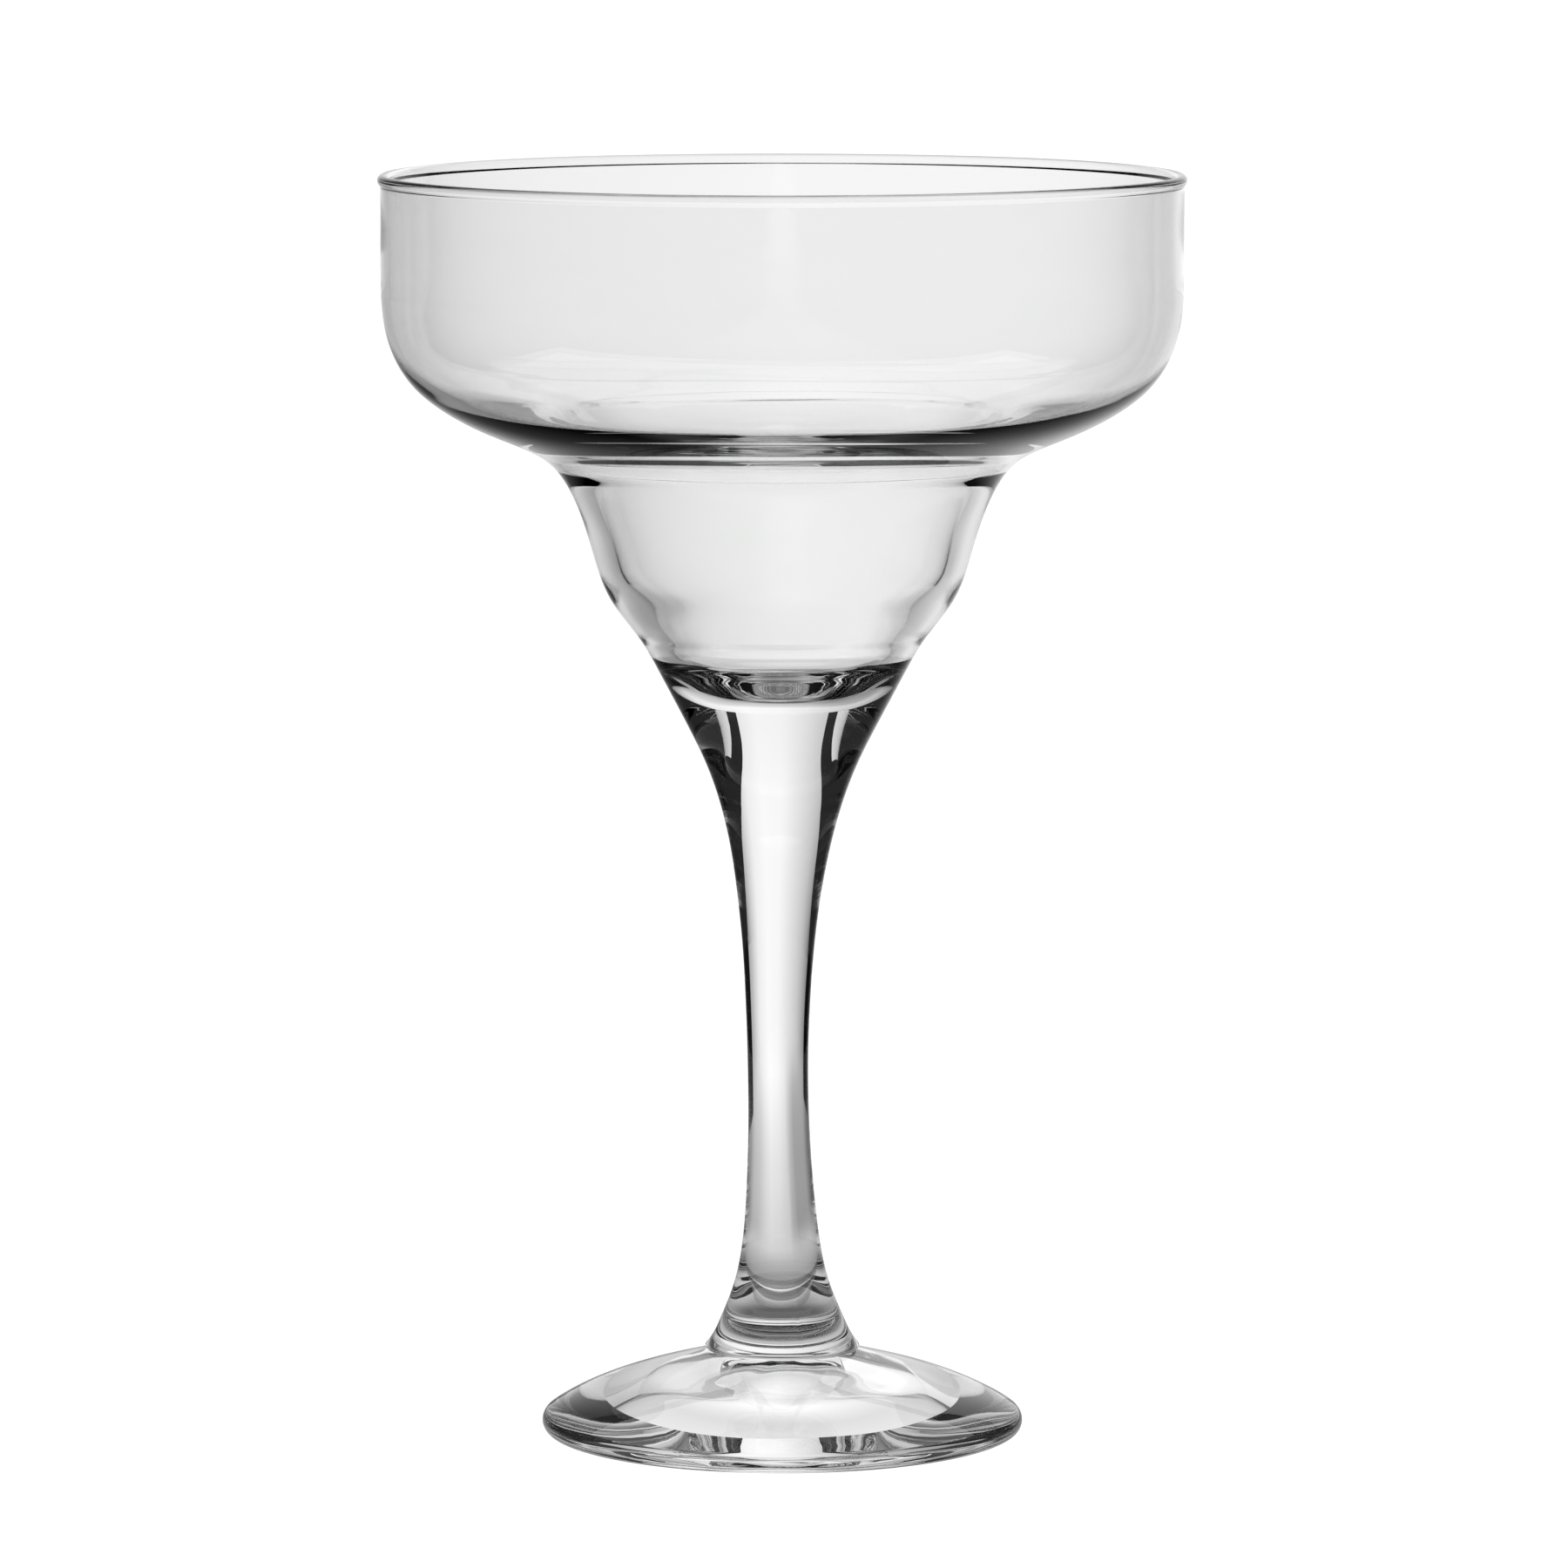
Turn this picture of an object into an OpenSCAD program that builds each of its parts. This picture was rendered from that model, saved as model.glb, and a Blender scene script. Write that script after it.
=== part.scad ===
// Margarita glass: a blown bowl, a pressed stem and a pressed foot, fused end to end.
// Units are millimetres. The axis is Z, and the foot rests on z = 0.

/* [Foot] */
// Diameter of the foot at its edge
foot_d = 65; // [58:0.5:72]
// Thickness of the foot's rounded edge
foot_edge_t = 3.1; // [2.4:0.1:4]
// Height of the hub, where the stem is fused on
hub_h = 11.2; // [9:0.1:14]
// Width of the flat ring that the foot rests on
rest_ring_w = 8.8; // [7:0.2:12]
// Height of the hollow under the foot
kick_h = 7.4; // [6:0.2:8.4]

/* [Stem] */
// Length of the stem between its two fused ends
stem_l = 88.8; // [75:0.1:100]
// Diameter of the stem's flared lower end
stem_base_d = 20.8; // [18:0.1:24]
// Radius of the rounded edge at the stem's lower end
stem_lip_r = 0.5; // [0.3:0.05:0.8]
// Diameter that the spline of the stem's waist is drawn to
stem_waist_d = 7.7; // [6.5:0.1:10]
// Height of the waist above the foot
stem_waist_h = 34.8; // [28:0.1:42]
// Diameter of the stem and the bowl where they are fused
weld_d = 29.6; // [26:0.1:33]
// Radius that the outline gains for each millimetre of height at that joint
weld_flare = 0.53; // [0.45:0.01:0.6]

/* [Bowl] */
// Height of the bowl from the stem to the top of the rim
bowl_h = 70; // [64:0.5:78]
// Outside diameter of the small well under the bowl
well_d = 50.6; // [47:0.2:54]
// Height of the well's outside, from the stem to its widest
well_h = 19; // [17:0.5:21]
// Outside diameter of the upright wall
wall_d = 107.2; // [100:0.2:114]
// Height of the shoulder, from the well to the upright wall
shoulder_h = 35; // [32:0.5:37]
// Thickness of the upright wall
wall_t = 1.2; // [0.9:0.1:1.8]
// Thickness of the glass round the well, level across at its widest
well_t = 3.1; // [2.6:0.1:3.8]
// How much less than the joint's radius the cup at the bottom of the well has inside
cup_step = 1.1; // [0.8:0.1:1.6]
// Thickness of the bowl's own glass under the well, above the joint
floor_t = 0.9; // [0.6:0.1:1.6]

/* [Rim] */
// How far the rim's bead stands out past the wall
bead_proud = 0.4; // [0.2:0.05:0.6]
// Thickness of the rounded bead at the rim
bead_t = 1.56; // [1.3:0.02:2]
// Radius of the hollow corner under the bead
bead_fillet_r = 0.3; // [0.2:0.05:0.5]

/* [Hidden] */
$fn = 180;

// Points along each span of a spline, and along each arc
span_steps = 6;
arc_steps = 12;

// Radii and heights that the pieces share
foot_r = foot_d / 2;
edge_r = foot_edge_t / 2;
stem_base_r = stem_base_d / 2;
stem_waist_r = stem_waist_d / 2;
hub_r = stem_base_r - stem_lip_r;
weld_r = weld_d / 2;
well_r = well_d / 2;
wall_r = wall_d / 2;
bore_r = wall_r - wall_t;
rim_r = wall_r + bead_proud;
cup_r = weld_r - cup_step;
bead_r = bead_t / 2;
weld_z = hub_h + stem_l;
rim_z = weld_z + bowl_h;
well_z = weld_z + well_h;
wall_z = well_z + shoulder_h;
floor_z = weld_z + floor_t;
glass_color = [0.93, 0.95, 0.95, 0.45];

// Angle above level at which the foot's top runs into its rounded edge
foot_edge_angle = 55;

// Outlines are splines, and each table places their points between two named sizes.
// A row holds the share of the way out and the share of the way up.
foot_top_shares = [[0.1, 0.18], [0.34, 0.61]];
kick_shares = [[0.1, 0.175], [0.25, 0.395], [0.45, 0.53], [0.7, 0.8], [0.88, 0.925], [1, 1]];
stem_low_shares = [[0.8, 0.05], [0.64, 0.13], [0.31, 0.27], [0.115, 0.53]];
stem_high_shares = [[0.05, 0.3], [0.175, 0.555], [0.435, 0.775]];
stem_joint_share = 0.095;
well_out_shares = [[0.4, 0.42], [0.835, 0.685], [1, 1]];
well_joint_share = 0.21;
shoulder_out_shares = [
    [0.06, 0.17], [0.15, 0.315], [0.26, 0.4], [0.565, 0.485], [0.865, 0.63], [0.985, 0.83], [1, 1]
];
cup_in_shares = [[0.505, 0], [0.786, 0.195], [1, 0.228], [1.115, 0.406], [1.181, 0.467]];
well_in_shares = [[0.606, 0.644], [0.907, 0.832], [1.026, 1.048]];
shoulder_in_shares = [
    [0.049, 0.139], [0.099, 0.251], [0.157, 0.338], [0.215, 0.38], [0.245, 0.443], [0.387, 0.491],
    [0.588, 0.53], [0.751, 0.59], [0.89, 0.684], [0.963, 0.796], [0.995, 0.915], [1, 1.029]
];

// Point on a uniform cubic B-spline span with the four control points a, b, c and d
function spline_point(a, b, c, d, t) =
    (pow(1 - t, 3) * a + (3 * pow(t, 3) - 6 * pow(t, 2) + 4) * b
     + (-3 * pow(t, 3) + 3 * pow(t, 2) + 3 * t + 1) * c + pow(t, 3) * d) / 6;

// B-spline through the first and last control points, straight at both ends
function spline(p) =
    let (last = len(p) - 1, q = concat([p[0], p[0]], p, [p[last], p[last]]))
    concat(
        [for (i = [0 : len(q) - 4], k = [0 : span_steps - 1])
            spline_point(q[i], q[i + 1], q[i + 2], q[i + 3], k / span_steps)],
        [p[last]]);

// Point on a cubic Bezier curve
function bezier_point(p, t) =
    pow(1 - t, 3) * p[0] + 3 * pow(1 - t, 2) * t * p[1] + 3 * (1 - t) * t * t * p[2] + pow(t, 3) * p[3];

// Points of an arc about a centre
function arc(centre, r, from, to) =
    [for (k = [0 : arc_steps]) let (a = from + (to - from) * k / arc_steps) centre + r * [cos(a), sin(a)]];

// Control points placed by a table of shares between the corners low and high
function place(shares, low, high) =
    [for (s = shares) [low[0] + s[0] * (high[0] - low[0]), low[1] + s[1] * (high[1] - low[1])]];

// The foot's outline, from its hub over the edge and under to the axis
function foot_outline() =
    let (
        edge = [foot_r - edge_r, edge_r],
        hub = [hub_r, hub_h],
        join = edge + edge_r * [cos(foot_edge_angle), sin(foot_edge_angle)],
        reach = (foot_top_shares[1][0] * (foot_r - hub_r)) / sin(foot_edge_angle),
        near_hub = hub + [foot_top_shares[0][0] * (foot_r - hub_r), -foot_top_shares[0][1] * (hub_h - foot_edge_t)],
        near_edge = join + reach * [-sin(foot_edge_angle), cos(foot_edge_angle)],
        top = [for (k = [0 : 4 * span_steps - 1]) bezier_point([hub, near_hub, near_edge, join], k / (4 * span_steps))],
        kick_edge = [foot_r - edge_r - rest_ring_w, 0]
    )
    concat(
        [[0, hub_h]], top, arc(edge, edge_r, foot_edge_angle, -90),
        spline(concat([kick_edge], place(kick_shares, kick_edge, [0, kick_h]))));

// The stem's outline, from its rounded lower edge to the joint with the bowl
function stem_outline() =
    let (
        lip = [stem_base_r - stem_lip_r, hub_h + stem_lip_r],
        base = [stem_base_r, hub_h + stem_lip_r],
        waist = [stem_waist_r, hub_h + stem_waist_h],
        weld = [weld_r, weld_z],
        joint_h = stem_joint_share * (weld_z - waist[1]),
        side = concat(
            [base],
            [for (s = stem_low_shares)
                [waist[0] + s[0] * (base[0] - waist[0]), base[1] + s[1] * (waist[1] - base[1])]],
            [waist], place(stem_high_shares, waist, weld),
            [weld - joint_h * [weld_flare, 1], weld])
    )
    concat([[0, hub_h]], arc(lip, stem_lip_r, -90, 0), spline(side), [[0, weld_z]]);

// The bowl's outside, from the joint with the stem up to the bead
function bowl_outside() =
    let (
        weld = [weld_r, weld_z],
        well = [well_r, well_z],
        wall = [wall_r, wall_z],
        joint_h = well_joint_share * well_h
    )
    spline(concat(
        [weld, weld + joint_h * [weld_flare, 1]],
        place(well_out_shares, weld, well),
        place(shoulder_out_shares, well, wall)));

// The rim: the hollow corner under the bead, then the bead over to the bore
function rim_outline() =
    let (
        bead = [rim_r - bead_r, rim_z - bead_r],
        fillet_x = wall_r + bead_fillet_r,
        drop = sqrt(pow(bead_r + bead_fillet_r, 2) - pow(fillet_x - bead[0], 2)),
        fillet = [fillet_x, bead[1] - drop],
        touch = atan2(drop, bead[0] - fillet_x),
        inner = 180 + acos(min(1, (bead[0] - bore_r) / bead_r))
    )
    concat(arc(fillet, bead_fillet_r, 180, touch), arc(bead, bead_r, touch - 180, inner));

// The bowl's inside, from the upright wall down to the middle of the well's floor
function bowl_inside() =
    let (
        floor = [0, floor_z],
        cup = [cup_r, floor_z],
        well = [well_r - well_t, well_z],
        wall = [bore_r, wall_z],
        line = spline(concat(
            [floor], place(cup_in_shares, floor, [cup_r, well_z]),
            place(well_in_shares, cup, well),
            place(shoulder_in_shares, well, wall)))
    )
    [for (k = [len(line) - 1 : -1 : 0]) line[k]];

module bowl() {
    color(glass_color)
        rotate_extrude()
            polygon(concat([[0, weld_z]], bowl_outside(), rim_outline(), bowl_inside()));
}

module stem() {
    color(glass_color)
        rotate_extrude()
            polygon(stem_outline());
}

module foot() {
    color(glass_color)
        rotate_extrude()
            polygon(foot_outline());
}

bowl();
stem();
foot();
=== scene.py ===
"""A clear stemmed margarita glass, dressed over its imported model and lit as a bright-field studio shot."""

import math

import bpy
import numpy as np
from bpy.props import FloatProperty, FloatVectorProperty, IntProperty, PointerProperty
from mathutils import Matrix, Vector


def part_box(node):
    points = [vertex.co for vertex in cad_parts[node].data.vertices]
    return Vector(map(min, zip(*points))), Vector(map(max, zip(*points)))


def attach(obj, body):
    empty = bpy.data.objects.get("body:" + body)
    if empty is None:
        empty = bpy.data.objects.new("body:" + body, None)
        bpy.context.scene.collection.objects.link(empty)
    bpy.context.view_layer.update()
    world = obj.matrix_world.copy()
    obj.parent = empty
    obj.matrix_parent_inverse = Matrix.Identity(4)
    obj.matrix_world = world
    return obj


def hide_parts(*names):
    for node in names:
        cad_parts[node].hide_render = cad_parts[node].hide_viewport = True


bl_info = {
    "name": "Margarita Glass",
    "version": (1, 0, 0),
    "blender": (4, 5, 0),
    "location": "3D View > Sidebar > Glass",
    "description": "Builds a clear margarita glass and the light table it stands on",
    "category": "Object",
}

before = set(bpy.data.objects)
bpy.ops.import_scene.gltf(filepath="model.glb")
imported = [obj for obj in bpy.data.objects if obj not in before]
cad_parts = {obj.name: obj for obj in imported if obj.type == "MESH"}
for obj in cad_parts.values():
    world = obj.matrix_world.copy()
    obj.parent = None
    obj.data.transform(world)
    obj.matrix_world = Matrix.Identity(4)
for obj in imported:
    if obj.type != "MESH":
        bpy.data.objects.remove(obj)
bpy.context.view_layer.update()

MM = 0.001
BODY = "root"
# Two chords of an outline that turn by more than this meet in a corner
CORNER_ANGLE = math.radians(25)
# A chord this many times as long as its neighbour is a straight run, which the neighbour meets along it
STRAIGHT_RATIO = 3
# Points at which each chord of an outline is drawn before the rows are spaced out
CHORD_STEPS = 16
# Points of an outline nearer the axis than this are left to the fan that closes it
AXIS_GAP = 0.02 * MM
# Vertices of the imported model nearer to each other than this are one
GRAIN = 0.001 * MM
# How many plane waves make up the unevenness, and how many times the shortest one's length the longest has
WAVE_COUNT = 12
WAVE_SPREAD = 3
# How far the unevenness takes to rise from a joint or the axis, and from the ring that the foot rests on
FADE = 8 * MM
REST_HEIGHT = 0.4 * MM
# The foot stands this far over the table, so that there is air under its flat ring
AIR_GAP = 0.05 * MM
# Most waves round each piece, and the seeds of their draws
BOWL_TURNS, STEM_TURNS, FOOT_TURNS = 5, 2, 11
BOWL_SEED, STEM_SEED, FOOT_SEED = 11, 12, 13
# Where the mould's halves met, round the axis, and the heights between which the seam fades
SEAM_ANGLE = math.radians(-73)
SEAM_FADE = (28 * MM, 46 * MM)

# Brightness of the studio as the glass sees it, where 1 is the lightest that the picture can show.
# The first tables go by direction in degrees, from straight behind the glass towards the right.
# The backdrop's light is strongest in its middle, and the table takes less of it at the sides
BACKDROP_LIGHT = (
    (-50, 0.0), (-39, 0.35), (-27, 0.6), (-15, 0.78), (0, 1.0), (12, 1.05), (24, 0.95), (39, 0.5), (50, 0.1)
)
TABLE_LIGHT = (
    (-70, 0.05), (-55, 0.18), (-40, 0.42), (-20, 0.42), (-14, 0.58), (-8, 0.81), (0, 0.92), (10, 0.98),
    (17, 0.88), (27, 0.68), (40, 0.6), (55, 0.33), (90, 0.3),
)
# The table's light farther out, where it runs into the backdrop's, and the distances over which it sets in
FAR_TABLE_LIGHT = (
    (-70, 0.05), (-50, 0.16), (-39, 0.34), (-27, 0.54), (-15, 0.7), (0, 0.89), (12, 0.94), (24, 0.84),
    (39, 0.5), (55, 0.3), (90, 0.3),
)
FAR_FADE = (0.22, 0.48)
# The share of both lights that the glass's faces mirror, by direction too: painted dark at the sides, in
# place of black flags close by it
MIRROR_SHARE = ((-40, 0.0), (-22, 0.3), (-10, 0.9), (12, 0.95), (24, 0.6), (42, 0.1))
# Close to the glass the table is as bright at its sides as behind. The difference sets in between these
SIDE_FADE = (0.04, 0.1)
# By distance over the table from the axis: painted light under the foot, where it gathers light, and painted
# shade round it, where it shades the table
NEAR_LIGHT = (
    (0.0, 1.15), (0.015, 0.76), (0.025, 0.86), (0.037, 0.54), (0.052, 0.57), (0.07, 0.74), (0.095, 0.8),
    (0.17, 0.87), (0.34, 1.12),
)
# The share of its light that the table gives straight up, by distance over it: least where the glass's shade
# is painted. At flat angles it gives all of it, a painted reflection of the backdrop, and the share rises
# between these values of Facing
STEEP_LIGHT = ((0.0, 0.125), (0.04, 0.125), (0.07, 0.8), (0.3, 0.85), (1.0, 1.0))
PAINTED_REFLECTION_FACING = (0.055, 0.85)
# Half the backdrop's width by its height
BACKDROP_SHAPE = (
    (0.0, 2.3), (0.16, 2.05), (0.34, 1.85), (0.52, 1.69), (0.77, 1.35), (1.62, 0.89), (1.8, 0.86)
)
# Grids of the sheets of light. The table's inner rings, out to that radius, are evenly spaced, and its outer
# ones, from that radius, ever wider
TABLE_INNER = (0.3, 61)
TABLE_OUTER = (0.32, 60)
TABLE_SPOKES = 361
BACKDROP_ROWS, BACKDROP_COLUMNS = 61, 121

# Width of the camera's sensor, which its lens is given for
SENSOR_WIDTH = 36
# How often light may turn on its way: it crosses the bowl's two walls, and runs to and fro in thick glass
BOUNCES = 24
MIRROR_BOUNCES = 12


# Colours and nodes


def linear(hex_colour):
    """An sRGB hex colour as linear red, green, blue and alpha."""
    parts = [int(hex_colour[i : i + 2], 16) / 255 for i in (1, 3, 5)]
    return tuple(c / 12.92 if c <= 0.04045 else ((c + 0.055) / 1.055) ** 2.4 for c in parts) + (1.0,)


def add(tree, kind, links=None, **settings):
    """Adds a node of that kind. settings are its properties and the values of its sockets, and links are
    what comes into its sockets."""
    node = tree.nodes.new(kind)
    links = links or {}
    for name, value in {**settings, **links}.items():
        socket = next((s for s in node.inputs if s.name == name and s.enabled), None)
        if socket is None:
            setattr(node, name, value)
        elif name in links:
            tree.links.new(value, socket)
        else:
            socket.default_value = value
    return node


def new_material(name):
    """An empty node material, its node tree and its output."""
    material = bpy.data.materials.new(name)
    material.use_nodes = True
    material.node_tree.nodes.clear()
    return material, material.node_tree, add(material.node_tree, "ShaderNodeOutputMaterial")


def clear_glass(name, streak_size, s):
    """Clear soda-lime glass. streak_size is the size of its faint streaks along x, y and z."""
    material, tree, output = new_material(name)
    place = add(tree, "ShaderNodeTexCoord")
    stretch = add(
        tree, "ShaderNodeMapping", {"Vector": place.outputs["Object"]},
        Scale=[1 / size for size in streak_size],
    )
    streaks = add(
        tree, "ShaderNodeTexNoise", {"Vector": stretch.outputs["Vector"]},
        Scale=1.0, Detail=2.0, Roughness=0.45,
    )
    tint = add(
        tree, "ShaderNodeMix", {"Factor": streaks.outputs["Fac"]},
        data_type="RGBA", A=s.clear_color, B=s.streak_color,
    )
    glass = add(
        tree, "ShaderNodeBsdfPrincipled", {"Base Color": tint.outputs["Result"]},
        **{"Roughness": 0.0, "IOR": 1.52, "Transmission Weight": 1.0},
    )
    tree.links.new(glass.outputs["BSDF"], output.inputs["Surface"])
    return material


def fused_joint():
    """The face inside the fused glass, where two pieces are one: there is nothing there to see."""
    material, tree, output = new_material("fused_glass_joint")
    clear = add(tree, "ShaderNodeBsdfTransparent")
    tree.links.new(clear.outputs["BSDF"], output.inputs["Surface"])
    return material


def glowing(name, glossy):
    """A lit surface of the studio, its light painted as bright as the mesh's attribute "glow" says. With
    glossy set, it gives only the share in its attribute "steep" straight up, which is painted shade, and all
    of its light at a flat angle, a painted reflection of the backdrop."""
    material, tree, output = new_material(name)
    level = add(tree, "ShaderNodeAttribute", attribute_name="glow").outputs["Fac"]
    if glossy:
        # Painted reflection and shade: the emission rises with Facing, from the steep share to all of it
        facing = add(tree, "ShaderNodeLayerWeight", Blend=0.5).outputs["Facing"]
        low, high = PAINTED_REFLECTION_FACING
        steep = add(tree, "ShaderNodeAttribute", attribute_name="steep").outputs["Fac"]
        painted_shade_and_reflection = add(
            tree, "ShaderNodeMapRange", {"Value": facing, "To Min": steep}, interpolation_type="SMOOTHSTEP",
            **{"From Min": low, "From Max": high, "To Max": 1.0},
        )
        both = add(tree, "ShaderNodeMath", operation="MULTIPLY")
        tree.links.new(level, both.inputs[0])
        tree.links.new(painted_shade_and_reflection.outputs["Result"], both.inputs[1])
        level = both.outputs["Value"]
    light = add(tree, "ShaderNodeEmission", {"Strength": level}, Color=linear("#ffffff"))
    tree.links.new(light.outputs["Emission"], output.inputs["Surface"])
    return material


# The outline of a turned piece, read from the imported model


def outline(node):
    """The node's outline as ordered (radius, height) points, from its lower end to its upper one."""
    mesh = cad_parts[node].data
    mesh.calc_loop_triangles()
    co = np.empty(len(mesh.vertices) * 3)
    mesh.vertices.foreach_get("co", co)
    co = co.reshape(-1, 3)
    tris = np.empty(len(mesh.loop_triangles) * 3, int)
    mesh.loop_triangles.foreach_get("vertices", tris)
    tris = tris.reshape(-1, 3)
    cells = np.round(co / GRAIN).astype(int)
    _, first, point_of = np.unique(cells, axis=0, return_index=True, return_inverse=True)
    points = co[first]
    point_of = point_of.ravel()
    on_plane = (np.abs(points[:, 1]) < GRAIN) & (points[:, 0] > AXIS_GAP)
    edges = np.concatenate([tris[:, [0, 1]], tris[:, [1, 2]], tris[:, [2, 0]]])
    edges = np.unique(np.sort(point_of[edges], axis=1), axis=0)
    edges = edges[on_plane[edges].all(axis=1) & (edges[:, 0] != edges[:, 1])]
    ends = np.flatnonzero(np.bincount(edges.ravel()) == 1)
    if len(ends) != 2:
        raise ValueError(f"the outline of {node} has {len(ends)} ends, and it should have 2")
    path = [min(ends, key=lambda p: points[p, 2])]
    left = {tuple(e) for e in edges.tolist()}
    while left:
        step = next(e for e in left if path[-1] in e)
        left.remove(step)
        path.append(step[0] if step[1] == path[-1] else step[1])
    return points[path][:, [0, 2]]


def chord_ends(points):
    """Slopes that a smooth curve has at both ends of each chord, as unit vectors."""
    chords = np.diff(points, axis=0)
    length = np.linalg.norm(chords, axis=1)
    ahead = chords / length[:, None]
    before, after = ahead[:-1], ahead[1:]
    weight = np.clip(length[:-1] / (length[:-1] + length[1:]), 0, 1)[:, None]
    weight = np.where(length[1:, None] > STRAIGHT_RATIO * length[:-1, None], 1.0, weight)
    weight = np.where(length[:-1, None] > STRAIGHT_RATIO * length[1:, None], 0.0, weight)
    middle = before * (1 - weight) + after * weight
    middle /= np.linalg.norm(middle, axis=1)[:, None]
    turn = np.arccos(np.clip((before * after).sum(axis=1), -1, 1))
    corner = turn > CORNER_ANGLE
    leaving = np.vstack([ahead[:1], np.where(corner[:, None], after, middle)])
    arriving = np.vstack([np.where(corner[:, None], before, middle), ahead[-1:]])
    return leaving * length[:, None], arriving * length[:, None], np.flatnonzero(corner) + 1


def rows_of(points, row_turn, row_step):
    """Rows of a fine outline: cubic Hermite curves through the points, then rows spaced so that each turns
    by about row_turn or runs about row_step, whichever comes first. Corners keep a row."""
    leaving, arriving, corners = chord_ends(points)
    t = np.arange(CHORD_STEPS)[None, :, None] / CHORD_STEPS
    a, b = points[:-1, None], points[1:, None]
    fine = (
        (2 * t**3 - 3 * t**2 + 1) * a + (t**3 - 2 * t**2 + t) * leaving[:, None]
        + (3 * t**2 - 2 * t**3) * b + (t**3 - t**2) * arriving[:, None]
    )
    fine = np.vstack([fine.reshape(-1, 2), points[-1:]])
    marks = [0, *(corners * CHORD_STEPS), len(fine) - 1]
    rows = []
    for start, end in zip(marks[:-1], marks[1:]):
        part = fine[start : end + 1]
        chords = np.diff(part, axis=0)
        angle = np.unwrap(np.arctan2(chords[:, 1], chords[:, 0]))
        turn = np.concatenate([[0], np.abs(np.diff(angle))])
        cost = np.concatenate([[0], np.cumsum(turn / row_turn + np.linalg.norm(chords, axis=1) / row_step)])
        count = max(1, int(np.ceil(cost[-1])))
        at = np.interp(np.linspace(0, cost[-1], count + 1), cost, np.arange(len(part)))
        along = np.column_stack([np.interp(at, np.arange(len(part)), part[:, k]) for k in (0, 1)])
        rows.append(along[:-1])
    return np.vstack([*rows, fine[-1:]])


# Meshes


def set_mesh(name, verts, quads, tris, materials, weld_faces):
    """A mesh object from arrays of vertices, quads and triangles. weld_faces get the second material."""
    mesh = bpy.data.meshes.new(name)
    loops = np.concatenate([quads.ravel(), tris.ravel()]).astype(np.int32)
    sizes = np.concatenate([np.full(len(quads), 4), np.full(len(tris), 3)])
    starts = np.concatenate([[0], np.cumsum(sizes)[:-1]]).astype(np.int32)
    mesh.vertices.add(len(verts))
    mesh.vertices.foreach_set("co", verts.astype(np.float32).ravel())
    mesh.loops.add(len(loops))
    mesh.loops.foreach_set("vertex_index", loops)
    mesh.polygons.add(len(sizes))
    mesh.polygons.foreach_set("loop_start", starts)
    for material in materials:
        mesh.materials.append(material)
    mesh.polygons.foreach_set("material_index", weld_faces.astype(np.int32))
    mesh.update(calc_edges=True)
    mesh.validate()
    mesh.shade_smooth()
    thing = bpy.data.objects.new(name, mesh)
    bpy.context.scene.collection.objects.link(thing)
    return thing


def mark_corners(mesh, sharp_rings):
    """Makes the edges between two vertices of one sharp ring sharp."""
    edges = np.empty(len(mesh.edges) * 2, int)
    mesh.edges.foreach_get("vertices", edges)
    ends = sharp_rings[edges.reshape(-1, 2)]
    sharp = (ends[:, 0] == ends[:, 1]) & (ends[:, 0] > 0)
    attribute = mesh.attributes.get("sharp_edge") or mesh.attributes.new("sharp_edge", "BOOLEAN", "EDGE")
    attribute.data.foreach_set("value", sharp)


def normals_of(rows):
    """Unit normals of an outline that has the glass on its left, which point out of the glass, and the
    length along the outline."""
    chords = np.diff(rows, axis=0)
    length = np.linalg.norm(chords, axis=1)
    ahead = chords / length[:, None]
    mean = np.vstack([ahead[:1], ahead[:-1] + ahead[1:], ahead[-1:]])
    mean /= np.linalg.norm(mean, axis=1)[:, None]
    return np.column_stack([mean[:, 1], -mean[:, 0]]), np.concatenate([[0], np.cumsum(length)])


def waves(angle, along, size, turns, seed):
    """Smooth unevenness of about 1 either way: a sum of WAVE_COUNT plane waves over the angle round the axis
    and the length along the outline. Each goes round a whole number of times, up to turns, so that its ends
    meet, and has its own length, from size to WAVE_SPREAD times that."""
    random = np.random.default_rng(seed)
    total = 0
    for _ in range(WAVE_COUNT):
        rounds = random.integers(-turns, turns + 1)
        length = size * random.uniform(1, WAVE_SPREAD)
        total = total + np.cos(rounds * angle + math.tau * (along / length + random.random()))
    return total / math.sqrt(WAVE_COUNT)


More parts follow.
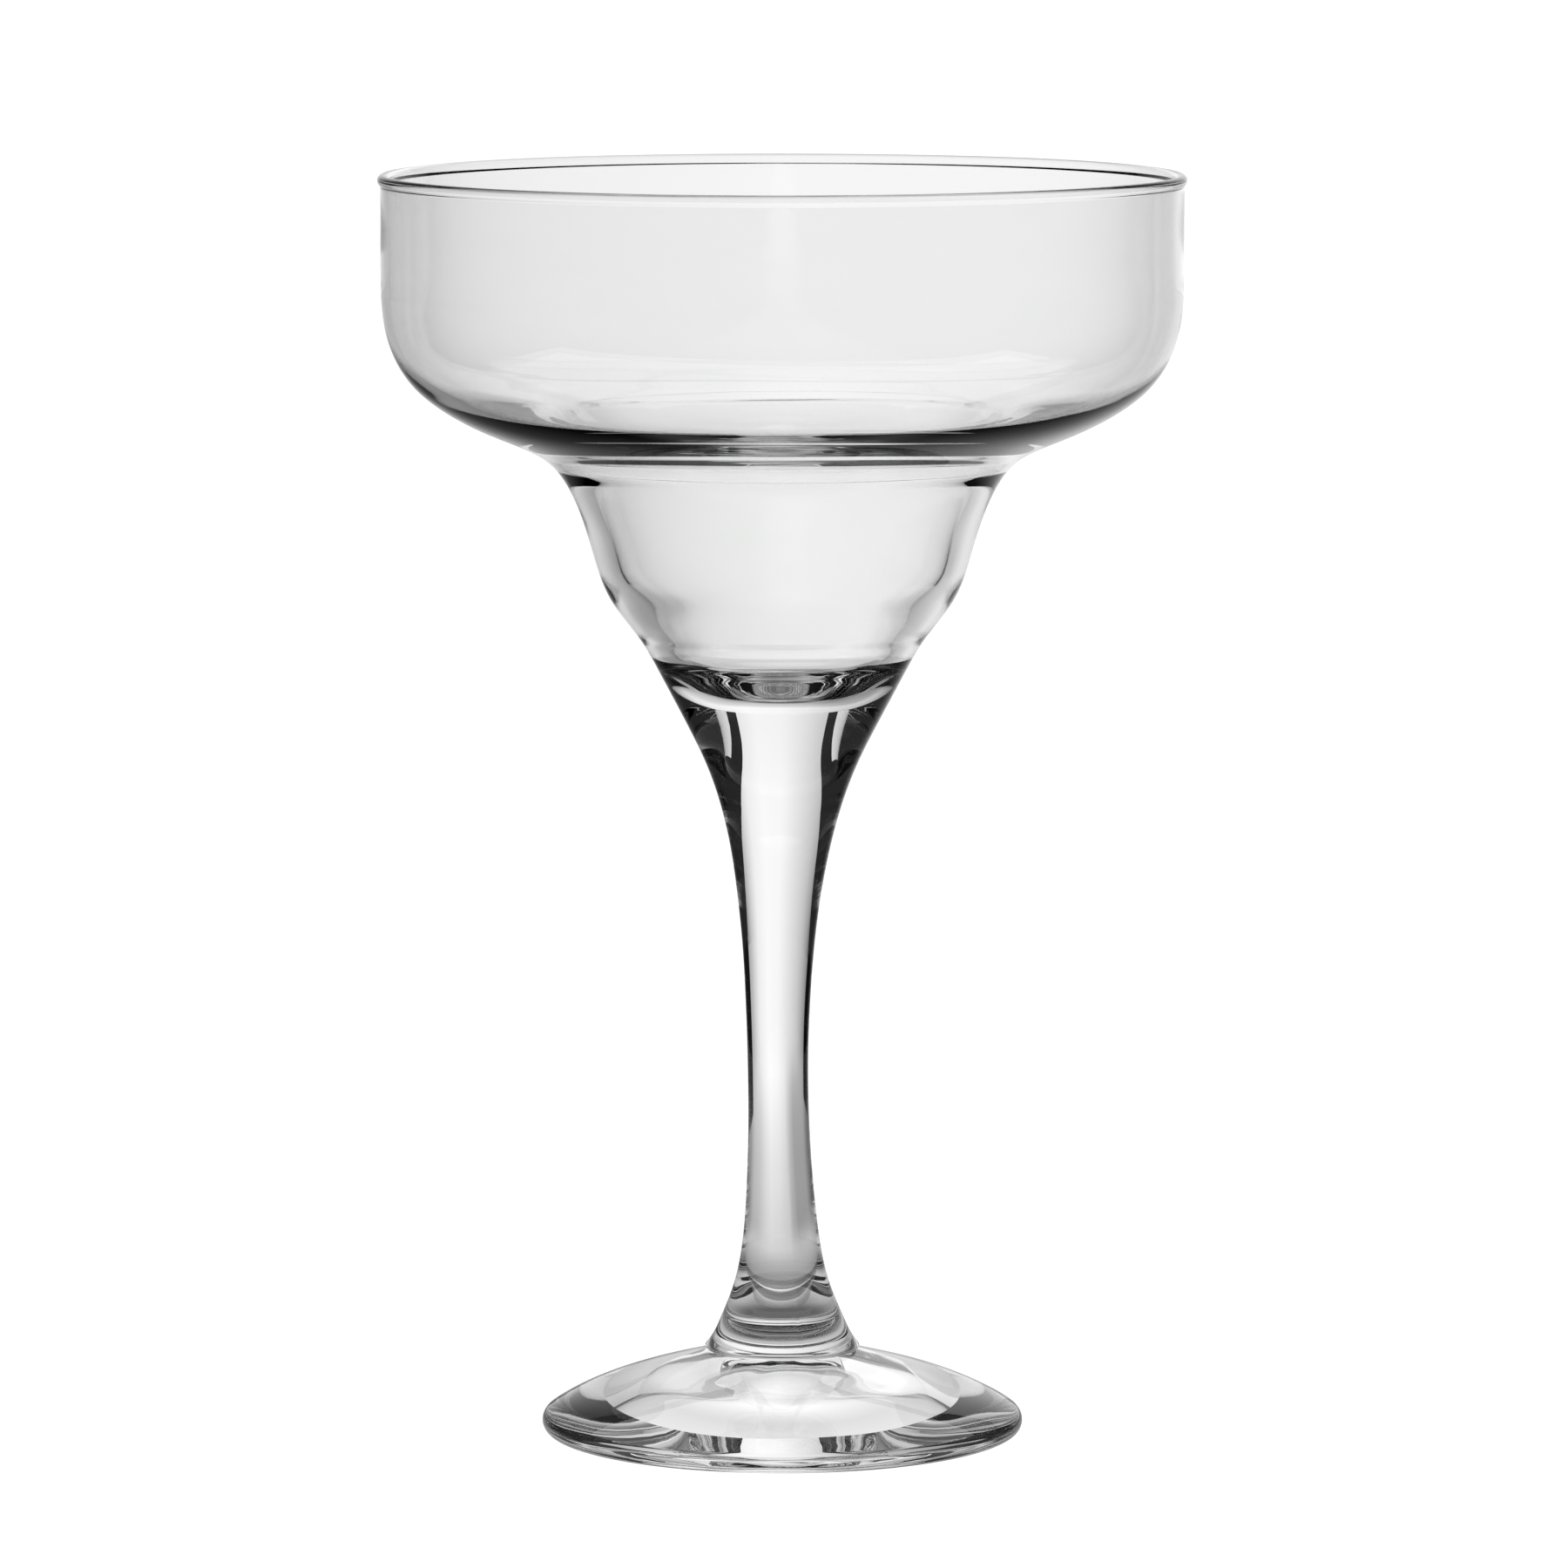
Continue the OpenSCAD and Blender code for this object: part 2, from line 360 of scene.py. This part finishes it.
def turned(name, rows, segments, uneven, materials, weld_bottom, weld_top, lean=None):
    """A closed turned piece. The rows go round the axis, and each point then moves along its normal by
    uneven(angle, along, radius, height). lean(height) moves a whole row to the right. The axis is closed by
    two fans of triangles, and a welded end stays plain."""
    rows = rows[rows[:, 0] > AXIS_GAP]
    out, along = normals_of(rows)
    angle = np.arange(segments)[None, :] * math.tau / segments
    row_radius, row_height = rows[:, 0, None], rows[:, 1, None]
    move = uneven(angle, along[:, None], row_radius, row_height) + np.zeros((len(rows), segments))
    radius = row_radius + out[:, 0, None] * move
    height = row_height + out[:, 1, None] * move
    aside = lean(row_height) if lean else 0
    verts = np.stack([radius * np.cos(angle) + aside, radius * np.sin(angle), height], axis=-1)
    verts = verts.reshape(-1, 3)
    count = len(rows)
    last = (count - 1) * segments
    low, high = len(verts), len(verts) + 1
    poles = [[verts[s : s + segments, 0].mean(), 0, verts[s : s + segments, 2].mean()] for s in (0, last)]
    verts = np.vstack([verts, poles])
    ring = np.arange(segments)
    after = (ring + 1) % segments
    base = (np.arange(count - 1) * segments)[:, None]
    quads = np.stack([base + ring, base + after, base + segments + after, base + segments + ring], axis=-1)
    tris = np.concatenate([
        np.stack([np.full(segments, low), after, ring], axis=-1),
        np.stack([np.full(segments, high), last + ring, last + after], axis=-1),
    ])
    quads = quads.reshape(-1, 4)
    welded = np.zeros(len(quads) + len(tris), bool)
    welded[len(quads) : len(quads) + segments] = weld_bottom
    welded[len(quads) + segments :] = weld_top
    thing = set_mesh(name, verts, quads, tris, materials, welded)
    chords = np.diff(np.vstack([[0, rows[0, 1]], rows, [0, rows[-1, 1]]]), axis=0)
    chords /= np.linalg.norm(chords, axis=1)[:, None]
    turn = np.arccos(np.clip((chords[:-1] * chords[1:]).sum(axis=1), -1, 1))
    sharp = np.zeros(len(verts), int)
    sharp[: count * segments] = np.repeat(np.where(turn > CORNER_ANGLE, np.arange(count) + 1, 0), segments)
    if weld_bottom:
        sharp[:segments] = 1
    if weld_top:
        sharp[last : last + segments] = count
    mark_corners(thing.data, sharp)
    return thing


def dress(thing, node):
    """Puts a finished piece in place of its CAD node."""
    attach(thing, BODY)
    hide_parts(node)


def smooth_step(low, high, value):
    """0 below low, 1 above high, and 3t^2 - 2t^3 between them."""
    t = np.clip((value - low) / (high - low), 0, 1)
    return t * t * (3 - 2 * t)


# Light


def by_table(table, value):
    """Straight lines between a table's rows of (value, result)."""
    at, result = np.transpose(table)
    return np.interp(value, at, result)


def pool(x, y, s, softness):
    """The lit part of the table, 1 inside it. It is a strip under the glass that widens behind it, and it
    fades towards the front. softness is the share of its width over which its sides fade."""
    edge = np.maximum(s.pool_side, y * math.tan(s.pool_angle))
    lit = 1 - smooth_step(edge * (1 - softness), edge * (1 + softness), np.abs(x))
    front = s.front_level + (1 - s.front_level) * smooth_step(-s.front_far, -s.front_near, y)
    return np.maximum(s.room_level, lit) * front


def lit_sheet(name, points, glow, rays, steep=None):
    """A sheet of light: a grid of points, each as bright as its glow, of which it gives the share steep
    straight up. Only the rays of the kinds given meet the sheet."""
    rows, columns = points.shape[:2]
    base = (np.arange(rows - 1) * columns)[:, None] + np.arange(columns - 1)
    quads = np.stack([base, base + 1, base + columns + 1, base + columns], axis=-1).reshape(-1, 4)
    no_tris = np.zeros((0, 3), int)
    light = glowing(name, steep is not None)
    thing = set_mesh(name, points.reshape(-1, 3), quads, no_tris, [light], np.zeros(len(quads), bool))
    for label, values in (("glow", glow), ("steep", steep)):
        if values is not None:
            values = np.broadcast_to(values, glow.shape).astype(np.float32)
            thing.data.attributes.new(label, "FLOAT", "POINT").data.foreach_set("value", values.ravel())
    for kind in ("camera", "transmission", "glossy", "diffuse"):
        setattr(thing, f"visible_{kind}", kind in rays)


# Settings


class GlassSettings(bpy.types.PropertyGroup):
    """The glass's finish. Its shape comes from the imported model."""

    segments: IntProperty(name="Segments", description="Faces round the glass", default=300, min=48)
    row_turn: FloatProperty(
        name="Row turn", description="Turn of the outline from row to row",
        default=math.radians(3), subtype="ANGLE",
    )
    row_step: FloatProperty(
        name="Row step", description="Longest run of the outline from row to row",
        default=2.5 * MM, unit="LENGTH",
    )
    bowl_wave: FloatProperty(
        name="Bowl wave", description="Height of the blown bowl's unevenness",
        default=0.012 * MM, unit="LENGTH",
    )
    stem_wave: FloatProperty(
        name="Stem wave", description="Height of the drawn stem's unevenness",
        default=0.012 * MM, unit="LENGTH",
    )
    foot_wave: FloatProperty(
        name="Foot wave", description="Height of the pressed foot's unevenness",
        default=0.03 * MM, unit="LENGTH",
    )
    wave_size: FloatProperty(
        name="Wave size", description="Shortest wave of the unevenness",
        default=9 * MM, unit="LENGTH",
    )
    seam_height: FloatProperty(
        name="Seam height", description="Height of the mould seam on the stem",
        default=0.04 * MM, unit="LENGTH",
    )
    seam_width: FloatProperty(
        name="Seam width", description="Width of the mould seam on the stem",
        default=0.35 * MM, unit="LENGTH",
    )
    stem_lean: FloatProperty(
        name="Stem lean", description="How far the stem's middle stands to the right",
        default=-0.6 * MM, unit="LENGTH",
    )
    clear_color: FloatVectorProperty(
        name="Clear glass", description="Colour of the glass between its streaks",
        default=linear("#ffffff"), size=4, subtype="COLOR",
    )
    streak_color: FloatVectorProperty(
        name="Streaks", description="Colour of its streaks, the faintest green of iron",
        default=linear("#fdfefd"), size=4, subtype="COLOR",
    )


class StageSettings(bpy.types.PropertyGroup):
    """Camera and light."""

    camera_distance: FloatProperty(
        name="Camera distance", description="From the glass's axis, level",
        default=1218.7 * MM, unit="LENGTH",
    )
    camera_height: FloatProperty(
        name="Camera height", description="Above the table", default=233.9 * MM, unit="LENGTH"
    )
    camera_pitch: FloatProperty(
        name="Camera pitch", description="Below level", default=math.radians(6.825), subtype="ANGLE"
    )
    camera_aside: FloatProperty(
        name="Camera aside", description="To the right of the glass's axis",
        default=0.23 * MM, unit="LENGTH",
    )
    lens: FloatProperty(
        name="Lens", description="Focal length in millimetres", default=209.7, unit="CAMERA"
    )
    glow: FloatProperty(name="Glow", description="Brightness of the table in the picture", default=1.1)
    table_radius: FloatProperty(
        name="Table radius", description="Of the lit table", default=9.0, unit="LENGTH"
    )
    pool_side: FloatProperty(
        name="Pool side", description="Half the width of the lit strip under the glass",
        default=0.185, unit="LENGTH",
    )
    pool_angle: FloatProperty(
        name="Pool angle", description="How the lit strip widens behind the glass",
        default=math.radians(46), subtype="ANGLE",
    )
    pool_softness: FloatProperty(
        name="Pool softness", description="Softness of the lit strip's sides, as a share of its width",
        default=0.04, min=0, max=1, subtype="FACTOR",
    )
    view_softness: FloatProperty(
        name="View softness", description="The same, for the table that the picture shows",
        default=0.3, min=0, max=1, subtype="FACTOR",
    )
    front_near: FloatProperty(
        name="Front near", description="Where the table begins to darken, before the glass",
        default=0.05, unit="LENGTH",
    )
    front_far: FloatProperty(
        name="Front far", description="Where the table is darkest, before the glass",
        default=0.33, unit="LENGTH",
    )
    front_level: FloatProperty(
        name="Front level", description="Brightness of the table there",
        default=0.28, min=0, max=1, subtype="FACTOR",
    )
    room_level: FloatProperty(
        name="Room level", description="Brightness of the unlit studio",
        default=0.02, min=0, max=1, subtype="FACTOR",
    )
    mirrored_table: FloatProperty(
        name="Mirrored table", description="Share of the table's light that the glass mirrors",
        default=0.76, min=0, max=1, subtype="FACTOR",
    )
    backdrop_y: FloatProperty(
        name="Backdrop distance", description="Behind the glass's axis", default=2.2, unit="LENGTH"
    )
    softbox_place: FloatVectorProperty(
        name="Softbox place", description="Middle of the softbox over the table",
        default=(0.0, 1.25, 1.9), subtype="XYZ", unit="LENGTH",
    )
    softbox_size: FloatVectorProperty(
        name="Softbox size", description="Its sides along x and y",
        default=(3.0, 1.7), size=2, unit="LENGTH",
    )
    softbox_level: FloatProperty(
        name="Softbox level", description="Brightness of the softbox",
        default=0.86, min=0, soft_max=2,
    )


# Operators


class BuildBowl(bpy.types.Operator):
    """Builds the blown bowl: an upright wall with a beaded rim, a shoulder and a small well"""

    bl_idname = "margarita.bowl"
    bl_label = "Bowl"

    def execute(self, context):
        s = context.scene.margarita_glass
        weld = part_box("bowl")[0][2]

        def uneven(angle, along, radius, height):
            """Gentle waves, which fade at the joint with the stem and at the middle of the well."""
            clear = smooth_step(0, FADE, height - weld) * smooth_step(0, FADE, radius)
            return s.bowl_wave * clear * waves(angle, along, s.wave_size, BOWL_TURNS, seed=BOWL_SEED)

        rows = rows_of(outline("bowl"), s.row_turn, s.row_step)
        # Blown in a turning mould and fire-polished: its faint streaks lie level, and the surface is bright
        skin = clear_glass("blown_soda_lime_glass", (14 * MM, 14 * MM, 3 * MM), s)
        piece = turned("bowl_blown", rows, s.segments, uneven, [skin, fused_joint()], True, False)
        dress(piece, "bowl")
        return {"FINISHED"}


class BuildStem(bpy.types.Operator):
    """Builds the solid stem, which flares into the bowl and spreads over the foot's hub"""

    bl_idname = "margarita.stem"
    bl_label = "Stem"

    def execute(self, context):
        s = context.scene.margarita_glass
        low, high = (corner[2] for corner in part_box("stem"))

        def uneven(angle, along, radius, height):
            """Gentle waves, and on two sides the fine ridge where the mould's halves met: a bell curve
            across it. Both fade at the joints."""
            clear = smooth_step(0, FADE, height - low) * smooth_step(0, FADE, high - height)
            across = radius * np.sin(angle - SEAM_ANGLE) / s.seam_width
            seam = s.seam_height * np.exp(-(across**2)) * (1 - smooth_step(*SEAM_FADE, height))
            wave = s.stem_wave * waves(angle, along, s.wave_size, STEM_TURNS, seed=STEM_SEED)
            return clear * (wave + seam)

        def lean(height):
            """The drawn stem bows: the square of half a sine wave between its two joints."""
            return s.stem_lean * np.sin(math.pi * (height - low) / (high - low)) ** 2

        rows = rows_of(outline("stem"), s.row_turn, s.row_step)
        # Pressed and drawn while soft: its faint streaks run along it
        skin = clear_glass("drawn_soda_lime_glass", (2 * MM, 2 * MM, 30 * MM), s)
        piece = turned("stem_drawn", rows, s.segments, uneven, [skin, fused_joint()], True, True, lean)
        dress(piece, "stem")
        return {"FINISHED"}


class BuildFoot(bpy.types.Operator):
    """Builds the pressed foot, with its hub, its rounded edge and the conical hollow underneath"""

    bl_idname = "margarita.foot"
    bl_label = "Foot"

    def execute(self, context):
        s = context.scene.margarita_glass
        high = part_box("foot")[1][2]

        def uneven(angle, along, radius, height):
            """Waves left by the press, which fade at the joint with the stem, at the middle and at the ring
            that the foot rests on."""
            clear = smooth_step(0, FADE, high - height) * smooth_step(0, FADE, radius)
            clear = clear * smooth_step(0, REST_HEIGHT, height)
            return s.foot_wave * clear * waves(angle, along, s.wave_size, FOOT_TURNS, seed=FOOT_SEED)

        rows = rows_of(outline("foot"), s.row_turn, s.row_step)
        # Pressed and fire-polished: the chill of the plunger leaves it faintly wavy
        skin = clear_glass("pressed_soda_lime_glass", (6 * MM, 6 * MM, 6 * MM), s)
        piece = turned("foot_pressed", rows, s.segments, uneven, [skin, fused_joint()], False, True)
        dress(piece, "foot")
        return {"FINISHED"}


class BuildStage(bpy.types.Operator):
    """Lays the lit table, hangs the backdrop and the softbox, and sets the camera"""

    bl_idname = "margarita.stage"
    bl_label = "Stage"

    def execute(self, context):
        s = context.scene.margarita_stage
        scene = context.scene
        self.lay_table(s)
        self.hang_backdrop(s)
        self.hang_softbox(s, scene)
        self.set_camera(s, scene)
        return {"FINISHED"}

    def lay_table(self, s):
        """Three round sheets in one place, lit and shaded copies of one table with painted light: the one
        that the picture shows, with only the painted pool of light, and the one that the glass bends and the
        one that it mirrors, which also carry painted shade round the foot."""
        inner, inner_count = TABLE_INNER
        outer, outer_count = TABLE_OUTER
        radius = np.concatenate(
            [np.linspace(0, inner, inner_count), np.geomspace(outer, s.table_radius, outer_count)]
        )[:, None]
        angle = np.linspace(-math.pi, math.pi, TABLE_SPOKES)[None, :]
        x, y = radius * np.sin(angle), radius * np.cos(angle)
        points = np.stack([x, y, np.full_like(x, -AIR_GAP)], axis=-1)
        lit = pool(x, y, s, s.pool_softness)
        # In front of the glass the directions count from straight in front
        aside = np.degrees(np.arctan2(x, np.abs(y)))
        fade = smooth_step(*SIDE_FADE, radius)
        near = by_table(TABLE_LIGHT, aside)
        far = near + (by_table(FAR_TABLE_LIGHT, aside) - near) * smooth_step(*FAR_FADE, radius)
        # Painted light under the foot and painted shade round it
        lit = lit * by_table(NEAR_LIGHT, radius)
        bent = lit * (1 + (far - 1) * fade)
        # In place of flags that hide the far table from the faces that mirror it, the mirrored sheet keeps
        # the near table's light, painted dark at the sides
        mirrored = lit * s.mirrored_table * (1 + (near * by_table(MIRROR_SHARE, aside) - 1) * fade)
        steep = by_table(STEEP_LIGHT, radius)
        lit_sheet("table_in_view", points, s.glow * pool(x, y, s, s.view_softness), ("camera",))
        lit_sheet("table_bent", points, bent, ("transmission",), steep)
        lit_sheet("table_mirrored", points, mirrored, ("glossy",), steep)

    def hang_backdrop(self, s):
        """Two flat sheets in one place, one that the glass bends and one that it mirrors, as wide at each
        height as their table says."""
        z = np.linspace(0, BACKDROP_SHAPE[-1][0], BACKDROP_ROWS)[:, None]
        x = by_table(BACKDROP_SHAPE, z) * np.linspace(-1, 1, BACKDROP_COLUMNS)[None, :]
        aside = np.degrees(np.arctan2(x, s.backdrop_y))
        points = np.stack([x, np.full_like(x, s.backdrop_y), z + np.zeros_like(x)], axis=-1)
        bent = by_table(BACKDROP_LIGHT, aside)
        lit_sheet("backdrop_bent", points, bent, ("transmission",))
        # Its sides are painted dark, in place of black flags
        lit_sheet("backdrop_mirrored", points, bent * by_table(MIRROR_SHARE, aside), ("glossy",))

    def hang_softbox(self, s, scene):
        """An area light's brightness is its power over pi times its area."""
        lamp = bpy.data.lights.new("overhead_softbox", "AREA")
        lamp.shape = "RECTANGLE"
        lamp.size, lamp.size_y = s.softbox_size
        lamp.energy = s.softbox_level * math.pi * lamp.size * lamp.size_y
        thing = bpy.data.objects.new(lamp.name, lamp)
        thing.location = s.softbox_place
        thing.visible_camera = False
        scene.collection.objects.link(thing)
        scene.world = bpy.data.worlds.new("unlit_studio")
        scene.world.use_nodes = True
        dark = scene.world.node_tree.nodes["Background"].inputs["Color"]
        dark.default_value = (s.room_level, s.room_level, s.room_level, 1)

    def set_camera(self, s, scene):
        """A long lens, level with the table's side, that looks slightly down."""
        camera = bpy.data.objects.new("camera", bpy.data.cameras.new("camera"))
        camera.data.sensor_width = SENSOR_WIDTH
        camera.data.lens = s.lens
        camera.data.clip_end = 10 * s.table_radius
        camera.location = (s.camera_aside, -s.camera_distance, s.camera_height)
        camera.rotation_euler = (math.pi / 2 - s.camera_pitch, 0, 0)
        scene.collection.objects.link(camera)
        scene.camera = camera
        scene.view_settings.view_transform = "Standard"
        scene.cycles.max_bounces = BOUNCES
        scene.cycles.transmission_bounces = BOUNCES
        scene.cycles.glossy_bounces = MIRROR_BOUNCES
        scene.cycles.transparent_max_bounces = BOUNCES


class GlassPanel(bpy.types.Panel):
    """Lists the steps and their settings"""

    bl_idname = "VIEW3D_PT_margarita"
    bl_label = "Margarita Glass"
    bl_space_type = "VIEW_3D"
    bl_region_type = "UI"
    bl_category = "Glass"

    def draw(self, context):
        for step in STEPS:
            self.layout.operator(step.bl_idname)
        for settings in (context.scene.margarita_glass, context.scene.margarita_stage):
            for name in settings.__annotations__:
                self.layout.prop(settings, name)


STEPS = (BuildBowl, BuildStem, BuildFoot, BuildStage)
CLASSES = (GlassSettings, StageSettings, *STEPS, GlassPanel)


def register():
    for cls in CLASSES:
        bpy.utils.register_class(cls)
    bpy.types.Scene.margarita_glass = PointerProperty(type=GlassSettings)
    bpy.types.Scene.margarita_stage = PointerProperty(type=StageSettings)


def unregister():
    del bpy.types.Scene.margarita_stage
    del bpy.types.Scene.margarita_glass
    for cls in reversed(CLASSES):
        bpy.utils.unregister_class(cls)


def main():
    register()
    bpy.ops.margarita.bowl()
    bpy.ops.margarita.stem()
    bpy.ops.margarita.foot()
    bpy.ops.margarita.stage()


if __name__ == "__main__":
    main()
